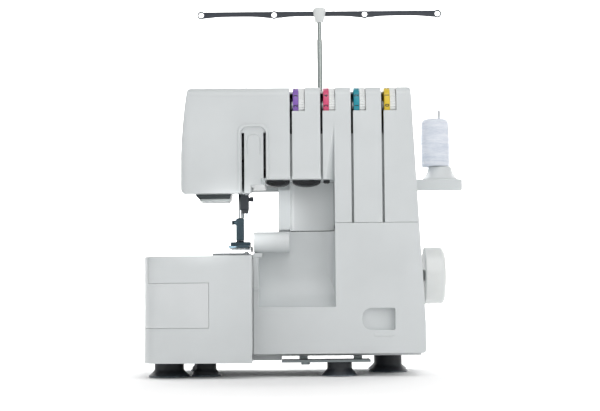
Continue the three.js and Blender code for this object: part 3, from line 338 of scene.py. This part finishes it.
def rounded_over(obj, edge):
    """Rounds every hard edge to a radius in mm, then keeps the flat faces flat under smooth shading."""
    if edge > 0:
        rounding = obj.modifiers.new("rounding", "BEVEL")
        rounding.width = edge * MM
        rounding.segments = ROUNDING_STEPS
        rounding.limit_method = "ANGLE"
        rounding.angle_limit = math.radians(ROUNDED_ANGLE)
        rounding.use_clamp_overlap = False
        rounding.miter_outer = "MITER_SHARP"
        apply_modifiers(obj)
    smooth(obj)
    keep_large_faces_flat(obj)
    weighting = obj.modifiers.new("weighting", "WEIGHTED_NORMAL")
    weighting.keep_sharp = True
    weighting.weight = 80
    return apply_modifiers(obj)


def finished(node, edge):
    """A copy of a CAD node with every hard edge rounded over, standing for the node."""
    shape = bmesh.new()
    shape.from_mesh(frame["nodes"][node].data)
    bmesh.ops.remove_doubles(shape, verts=shape.verts, dist=WELD_DISTANCE * MM)
    bmesh.ops.dissolve_limit(
        shape, angle_limit=math.radians(FLAT_ANGLE), verts=shape.verts, edges=shape.edges)
    mesh = bpy.data.meshes.new(f"{node}_finished")
    shape.to_mesh(mesh)
    shape.free()
    material = OWN_MATERIAL.get(node) or SLOT_MATERIAL[SLOT_OF[node]]
    obj = new_object(f"{node}_finished", mesh, material)
    return shown(rounded_over(obj, edge), BODY_OF[node], SLOT_OF[node], node)


def at(x, y, z):
    """Millimetres from the machine's own datum, as a point in the frame."""
    return Vector((x - DATUM_X, y - DATUM_Y, z)) * MM


def mesh_object(name, points, faces, material):
    """A mesh of points and faces, with every face turned outward."""
    mesh = bpy.data.meshes.new(name)
    mesh.from_pydata(points, [], faces)
    shape = bmesh.new()
    shape.from_mesh(mesh)
    bmesh.ops.recalc_face_normals(shape, faces=shape.faces)
    shape.to_mesh(mesh)
    shape.free()
    return new_object(name, mesh, material)


def turned(name, axis, centre, profile, material, sides=64, ridge=0, ridges=0):
    """Turns (along, radius) points in mm round an axis through centre.

    A knurled piece has a number of ridges, with hollows as deep as ridge between them."""
    points, faces = [], []
    for along, radius in profile:
        for i in range(sides):
            angle = 2 * math.pi * i / sides
            hollow = ridge * (0.5 - 0.5 * math.cos(ridges * angle)) if radius > 1 else 0
            reach = radius - hollow
            a, b = reach * math.cos(angle), reach * math.sin(angle)
            offset = {"x": (along, a, b), "y": (a, along, b), "z": (a, b, along)}[axis]
            points.append(at(*(c + o for c, o in zip(centre, offset))))
    rings = len(profile)
    for ring in range(rings - 1):
        for i in range(sides):
            j = (i + 1) % sides
            here, beyond = ring * sides, (ring + 1) * sides
            faces.append((here + i, here + j, beyond + j, beyond + i))
    faces.append(tuple(range(sides)))
    faces.append(tuple((rings - 1) * sides + i for i in range(sides)))
    return mesh_object(name, points, faces, material)


def extruded(name, axis, outline, start, end, material, edge=0.3):
    """Extrudes an outline in mm along an axis. The outline's numbers are the other two axes in order."""
    points = []
    for depth in (start, end):
        for u, v in outline:
            points.append(at(*{"x": (depth, u, v), "y": (u, depth, v), "z": (u, v, depth)}[axis]))
    count = len(outline)
    faces = [tuple(range(count)), tuple(range(count, 2 * count))]
    faces += [(i, (i + 1) % count, count + (i + 1) % count, count + i) for i in range(count)]
    return rounded_over(mesh_object(name, points, faces, material), edge)


def bar(name, low, high, material, edge):
    """A rounded block between two corners in mm."""
    (x0, y0, z0), (x1, y1, z1) = low, high
    return extruded(name, "z", [(x0, y0), (x1, y0), (x1, y1), (x0, y1)], z0, z1, material, edge)


def wire(name, path, radius, material):
    """A round wire through points in mm, with rounded turns."""
    curve = bpy.data.curves.new(name, "CURVE")
    curve.dimensions = "3D"
    curve.bevel_depth = radius * MM
    curve.bevel_resolution = WIRE_STEPS
    curve.use_fill_caps = True
    spline = curve.splines.new("BEZIER")
    spline.bezier_points.add(len(path) - 1)
    for point, place in zip(spline.bezier_points, path):
        point.co = at(*place)
        point.handle_left_type = point.handle_right_type = "AUTO"
    source = bpy.data.objects.new(name, curve)
    bpy.context.collection.objects.link(source)
    mesh = bpy.data.meshes.new_from_object(source.evaluated_get(bpy.context.evaluated_depsgraph_get()))
    bpy.data.objects.remove(source)
    return smooth(new_object(name, mesh, material))


# ------------------------------------------------------------------ casings and plain pieces
PLAIN_EDGE = 0.3                # radius of a hard edge that has no entry of its own
EDGE = {
    "front_casing": 0.4, "rear_casing": 0.9, "belt_cover": 0.9, "front_cover": 0.2,
    "storage_cap": 0.12, "handwheel": 0.9, "pole_lower": 0.1, "pole_middle": 0.08, "pole_upper": 0.1,
    "drive_belt": 0, "upper_knife": 0.1, "lower_knife": 0.08, "needle_plate": 0.2, "motor_pulley": 0.2,
    "presser_foot": 0.7, "presser_ankle": 0.8, "needle_clamp": 0.6, "guide_bar": 0.25,
    "spool_tray": 1.2, "base_pan": 0.12}
MADE_BELOW = ("tension_dial", "thread_cone", "foot_", "spool_post")
for node in frame["nodes"]:
    if node != "needle" and not node.startswith(MADE_BELOW):
        finished(node, EDGE.get(node, PLAIN_EDGE))


# ------------------------------------------------------------------ tension dials
DIAL_RADIUS = 20
DIAL_Y = 24.6
DIAL_Z = 287.5
FIRST_DIAL = -6.8
DIAL_PITCH = 32.4
BAND_WIDTH = 5.9
WHEEL_WIDTH = 12.8              # from the band's left face to the knurled wheel's right face
DIGIT_HEIGHT = 6.0
DIGIT_LIFT = 0.06               # the ink's height over the band
DIGIT_STEP = 32.7               # degrees from one digit to the next
LOWEST_ANGLE = -6               # degrees over the horizon at which the lowest digit shows
LOWEST_DIGIT = (2, 3, 1, 0)     # the digit that shows lowest in each window, left to right


def digit_mesh(character):
    """The vertices and faces of one printed digit, 1 unit tall and centred."""
    curve = bpy.data.curves.new("digit", "FONT")
    curve.body = character
    curve.align_x = "CENTER"
    curve.offset = 0.03         # thickens the strokes
    source = bpy.data.objects.new("digit", curve)
    bpy.context.collection.objects.link(source)
    mesh = bpy.data.meshes.new_from_object(source.evaluated_get(bpy.context.evaluated_depsgraph_get()))
    bpy.data.objects.remove(source)
    heights = [vertex.co.y for vertex in mesh.vertices]
    middle = (min(heights) + max(heights)) / 2
    points = [(vertex.co.x, vertex.co.y - middle) for vertex in mesh.vertices]
    return points, [tuple(face.vertices) for face in mesh.polygons]


def printed_digits(name, x, lowest):
    """Ten digits printed sideways round the dial's coloured band."""
    reach = DIAL_RADIUS + DIGIT_LIFT
    points, faces = [], []
    for digit in range(10):
        shape, outline = digit_mesh(str(digit))
        middle = math.radians(LOWEST_ANGLE + (digit - lowest) * DIGIT_STEP)
        first = len(points)
        for u, v in shape:
            angle = middle + u * DIGIT_HEIGHT / DIAL_RADIUS
            points.append(at(
                x + BAND_WIDTH / 2 - v * DIGIT_HEIGHT,
                DIAL_Y - reach * math.cos(angle),
                DIAL_Z + reach * math.sin(angle)))
        faces += [tuple(first + k for k in face) for face in outline]
    return mesh_object(name, points, faces, PRINT)


def tension_dial(number):
    """One dial: the coloured band with its digits, the knurled wheel, and the discs and nut on its axle."""
    x = FIRST_DIAL + (number - 1) * DIAL_PITCH
    node, body = f"tension_dial_{number}", f"dial_{number}"
    slot = SLOT_OF[node]
    centre = (x, DIAL_Y, DIAL_Z)
    r = DIAL_RADIUS
    band = turned(f"{node}_band", "x", centre, [
        (0, 6), (0, r - 0.5), (0.15, r - 0.15), (0.5, r), (BAND_WIDTH - 0.3, r),
        (BAND_WIDTH, r - 0.3), (BAND_WIDTH, 6)], SLOT_MATERIAL[slot], sides=96)
    shown(smooth(band), body, slot, node)
    wheel = turned(f"{node}_knurl", "x", centre, [
        (BAND_WIDTH + 0.05, 6), (BAND_WIDTH + 0.05, r - 0.7), (BAND_WIDTH + 0.4, r - 0.2),
        (WHEEL_WIDTH - 0.8, r - 0.2), (WHEEL_WIDTH - 0.2, r - 0.9), (WHEEL_WIDTH, r - 1.6),
        (WHEEL_WIDTH, 6)], BRIGHT_ABS, sides=352, ridge=0.55, ridges=44)
    shown(smooth(wheel), body, "panel")
    discs = turned(f"{node}_discs", "x", centre, [
        (-8, 0.5), (-8, 5), (-5.8, 5), (-5.8, 8.4), (-5.4, 9), (-4.4, 8.2), (-4.2, 5), (-3.2, 5),
        (-2.8, 8.2), (-1.8, 9), (-1.4, 8.4), (-1.2, 5), (0, 5), (0, 5.9), (WHEEL_WIDTH, 5.9),
        (WHEEL_WIDTH + 0.2, 6.5), (WHEEL_WIDTH + 6.6, 6.5), (WHEEL_WIDTH + 7, 6), (WHEEL_WIDTH + 7, 0.5)],
        STEEL, sides=48)
    shown(smooth(discs), body, "steel")
    shown(printed_digits(f"{node}_digits", x, LOWEST_DIGIT[number - 1]), body, "dark_plastic")


for number in range(1, 5):
    tension_dial(number)


# ------------------------------------------------------------------ thread stand
POLE_X, STAND_Y = 25, 190.5
TRAY_TOP, CONE_BOTTOM, CONE_TOP, PIN_TOP = 218.5, 237.3, 294, 305.6
POST_REACHES = (-141.5, -54.2, 54.2, 141.5)     # each post's place along the tray, from the pole
CONE_SHIFT = 5                                  # how far to the left each cone sits on its post
CONE_BORE = 11.4
for number, reach in enumerate(POST_REACHES, start=1):
    x = POLE_X + reach
    dome, pin = CONE_BOTTOM - TRAY_TOP, PIN_TOP - TRAY_TOP
    post = turned(f"spool_post_{number}_finished", "z", (x, STAND_Y, TRAY_TOP), [
        (0.3, 0.5), (0.3, 19.8), (0.9, 20.4), (3.2, 20.8), (4.4, 20.4), (6, 19.2), (8.5, 17.4),
        (11.5, 15.6), (15, 14.3), (dome - 0.9, 13.6), (dome - 0.4, 13), (dome - 0.3, 6), (50, 5.4),
        (65.5, 5), (66.5, 2), (pin - 3, 2), (pin - 1, 1.6), (pin, 0.6)], PANEL)
    shown(smooth(post), "base", "panel", f"spool_post_{number}")
    height = CONE_TOP - CONE_BOTTOM
    cone = turned(f"thread_cone_{number}_finished", "z", (x - CONE_SHIFT, STAND_Y, CONE_BOTTOM), [
        (0.0, CONE_BORE), (0.0, 15.4), (0.5, 16.2), (2, 16.6), (12, 16.8), (30, 16.8), (46, 16.5),
        (51.5, 16.1), (54.5, 15.2), (56.2, 13.6), (height, 12.2), (height, CONE_BORE), (52, 11.35),
        (2, 11.35)], THREAD, sides=72)
    shown(smooth(cone), f"cone_{number}", "thread", f"thread_cone_{number}")


# ------------------------------------------------------------------ suction feet
FEET = (    # x, y, radius of the rim on the floor, height
    (-140, 24, 22, 16), (-101.5, 30, 15.6, 16), (40.5, 21, 18.6, 14.1),
    (96.8, 105, 21.9, 20.4), (100, 172, 21.9, 20.4), (-112, 150, 15, 16))
NECK_PART = 0.7                 # the neck's radius as a part of the rim's
for number, (x, y, rim, top) in enumerate(FEET, start=1):
    neck = rim * NECK_PART
    foot = turned(f"foot_{number}_finished", "z", (x, y, 0), [
        (0, 0.5), (0, rim - 0.6), (0.3, rim - 0.1), (0.9, rim), (1.5, rim - 0.4), (2.6, rim - 1.8),
        (4.4, neck + 2.6), (6, neck + 1.1), (7.4, neck + 0.2), (8.4, neck), (top - 0.6, neck),
        (top, neck - 0.5), (top, 0.5)], FOOT_RUBBER)
    shown(smooth(foot), "base", "rubber", f"foot_{number}")


# ------------------------------------------------------------------ trims
def thread_pad_trims():
    """The small third pad, grey wires round the dishes of the two large ones as painted highlights, and the
    clear clip between them.
    """
    shown(extruded("thread_pad_small", "y", [
        (24.9, 206.4), (32.1, 206.4), (31.8, 204.4), (30.4, 203.6), (26.6, 203.6), (25.2, 204.4)],
        12, 20, PAD_ABS), "base", "dark_plastic")
    rim_y, rim_radius = 10.9, 0.28
    right_half = ((0.7, 201.9), (0.8, 202.4), (1, 204.6))
    left_half = [(-part, z) for part, z in reversed(right_half)]
    # Painted highlight: a thin grey wire traced round each large pad's dish, where its edge catches the
    # light.
    for number, middle, half_width in ((1, -23.8, 8.6), (2, 7.7, 9.6)):
        rim = [(middle + half_width * part, rim_y, z) for part, z in (*left_half, *right_half)]
        closed = rim + [rim[0]]
        shown(wire(f"pad_rim_painted_highlight_{number}", closed, rim_radius, GREY_ABS), "base", "dark_plastic")
    shown(bar("thread_clip", (-41, -0.2, 201.5), (-35.4, 1.0, 208.6), CLEAR, 0.3), "base", "lens")


def top_wire_guide():
    """A small steel plate on the head's top with two prongs that lean apart."""
    shown(bar("top_guide_plate", (-67, 49.8, 305.5), (-57, 56.2, 306.7), STEEL, 0.3), "base", "steel")
    prong_radius = 0.7
    for side, x, lean in (("left", -64.4, -1), ("right", -59.6, 1)):
        path = [(x, 53, 306), (x + 0.2 * lean, 53, 309), (x + lean, 52.6, 312), (x + 2.2 * lean, 52.4, 312.6)]
        shown(wire(f"top_guide_prong_{side}", path, prong_radius, STEEL), "base", "steel")


def knurled_screw(name, centre, profile, material):
    """A little screw along x with a knurled head."""
    return smooth(turned(name, "x", centre, profile, material, sides=96, ridge=0.3, ridges=16))


def needle_and_presser_screws():
    shown(knurled_screw("needle_clamp_screw", (-55.2, 44, 189.4), [
        (0, 0.4), (0, 2), (1, 2), (1.1, 2.7), (4.6, 2.7), (5, 2.3), (5.1, 0.4)], BLACK_ABS),
        "needle_carriage", "dark_plastic")
    shown(knurled_screw("presser_thumbscrew", (-74.5, 57, 165), [
        (0, 0.4), (0, 2.2), (0.4, 2.7), (1.8, 2.7), (2.2, 2.2), (2.4, 1.4), (5.4, 1.4), (5.4, 0.4)],
        BLUE_STEEL), "presser", "presser_metal")


def needle_pair():
    """Two needles side by side. The CAD holds the left one, and the right one is trim."""
    shape = [(0, 0.15), (3, 0.5), (6, 0.7), (20, 0.7), (21, 0.8), (32, 0.8)]    # over the tip, radius
    for name, x, y, tip, stands_for in (
            ("needle", -58.2, 44, 142, ["needle"]), ("second_needle", -56.3, 42.6, 145, [])):
        profile = [(tip + rise, radius) for rise, radius in shape]
        piece = turned(f"{name}_finished", "z", (x, y, 0), profile, STEEL, sides=24)
        shown(smooth(piece), "needle_carriage", "steel", *stands_for)


def guide_hub_shell():
    """The white moulded shell round the hub that carries the thread guide bar."""
    shown(smooth(turned("guide_hub_shell", "z", (POLE_X, STAND_Y, 0), [
        (411.9, 3), (412, 5), (412.4, 5.3), (419.6, 6.7), (423.8, 7.6), (428.4, 7.6), (429.3, 6.6),
        (429.4, 0.5)], BRIGHT_ABS)), "thread_guide", "panel")


def stitch_finger_and_rib():
    """The finger on the needle plate that stitches form round, and the rib on the cover's left wall."""
    shown(bar("plate_finger", (-59.8, 24.5, 130.45), (-55.6, 36, 131.9), STEEL, 0.4), "base", "steel")
    shown(bar("cover_rib", (-49.6, -0.6, 90.4), (-43.4, 3.0, 93.2), CASING, 0.5), "looper_cover", "casing")


thread_pad_trims()
top_wire_guide()
needle_and_presser_screws()
needle_pair()
guide_hub_shell()
stitch_finger_and_rib()


# ------------------------------------------------------------------ stage, light and camera, in metres
def stage():
    """A white floor that bends up into a wall far behind."""
    floor_colour = blank("pale_studio_floor")
    shade(floor_colour, {"Base Color": linear("ffffff"), "Roughness": 0.9})
    half_width, front, back, height, bend = 8.0, -6.0, 5.0, 3.5, 1.0
    below_feet = 0.0005
    bend_steps = 12
    profile = [(front, 0.0)]
    for i in range(bend_steps + 1):
        angle = math.pi / 2 * i / bend_steps
        profile.append((back - bend + bend * math.sin(angle), bend - bend * math.cos(angle)))
    profile.append((back, height))
    mesh = bpy.data.meshes.new("studio_sweep")
    points = [(x, y, z - below_feet) for y, z in profile for x in (-half_width, half_width)]
    faces = [(2 * i, 2 * i + 1, 2 * i + 3, 2 * i + 2) for i in range(len(profile) - 1)]
    mesh.from_pydata(points, [], faces)
    sweep = new_object("studio_sweep", mesh, floor_colour)
    mesh.shade_smooth()


def lamp(name, kind, place, target, power):
    """A lamp at a place that points at a target, with its power in watts."""
    light = bpy.data.lights.new(name, kind)
    light.energy = power
    obj = bpy.data.objects.new(name, light)
    bpy.context.collection.objects.link(obj)
    obj.location = place
    obj.rotation_euler = (Vector(target) - Vector(place)).to_track_quat("-Z", "Y").to_euler()
    return light


def softbox(name, place, target, size, power):
    light = lamp(name, "AREA", place, target, power)
    light.shape = "RECTANGLE"
    light.size, light.size_y = size


def snoot(name, place, target, cone_angle, power):
    """A spot in a long tube: a narrow beam that fades to its edge."""
    light = lamp(name, "SPOT", place, target, power)
    light.spot_size = math.radians(cone_angle)
    light.spot_blend = 1.0
    light.shadow_soft_size = 0.012


def lights():
    softbox("key_softbox", (0.35, -1.5, 1.05), (0, 0, 0.2), (1.3, 1.0), 4.7)
    softbox("top_softbox", (0.1, -0.75, 1.5), (0, -0.08, 0.1), (1.2, 0.7), 5.6)
    softbox("left_softbox", (-1.25, -1.2, 0.4), (0, 0, 0.18), (0.9, 0.8), 1.2)
    softbox("right_softbox", (1.4, -1.3, 0.6), (0, 0, 0.2), (0.8, 1.0), 2.3)
    # Turns the floor and the wall behind white, and stays off the machine's front.
    softbox("backdrop_softbox", (0, 2.6, 2.4), (0, 3.7, 0.0), (6.0, 2.0), 330)
    # Fills the recess beside the column from the left.
    snoot("throat_snoot", (-0.75, -1.0, 0.05), (-0.03, -0.027, 0.172), 4.4, 42)


def camera():
    """A long-lens camera a metre and a half away, low down and tipped up a little."""
    eye = Vector((-0.0115, -1.593, 0.0735))
    pitch = math.radians(4.06)
    roll = math.radians(0.47)
    right = Vector((1, 0, 0))
    up = Vector((0, -math.sin(pitch), math.cos(pitch)))
    back = -Vector((0, math.cos(pitch), math.sin(pitch)))
    rolled_right = right * math.cos(roll) - up * math.sin(roll)
    rolled_up = right * math.sin(roll) + up * math.cos(roll)
    data = bpy.data.cameras.new("camera")
    data.sensor_width = 36
    data.lens = 85.02
    obj = bpy.data.objects.new("camera", data)
    bpy.context.collection.objects.link(obj)
    turn = Matrix((rolled_right, rolled_up, back)).transposed()
    obj.matrix_world = Matrix.Translation(eye) @ turn.to_4x4()
    bpy.context.scene.camera = obj


def world():
    """White light from all round, and plain display colours."""
    surround = bpy.data.worlds.new("studio")
    surround.use_nodes = True
    background = surround.node_tree.nodes["Background"]
    background.inputs["Color"].default_value = linear("ffffff")
    background.inputs["Strength"].default_value = 0.47
    bpy.context.scene.world = surround
    bpy.context.scene.view_settings.view_transform = "Standard"


stage()
world()
lights()
camera()
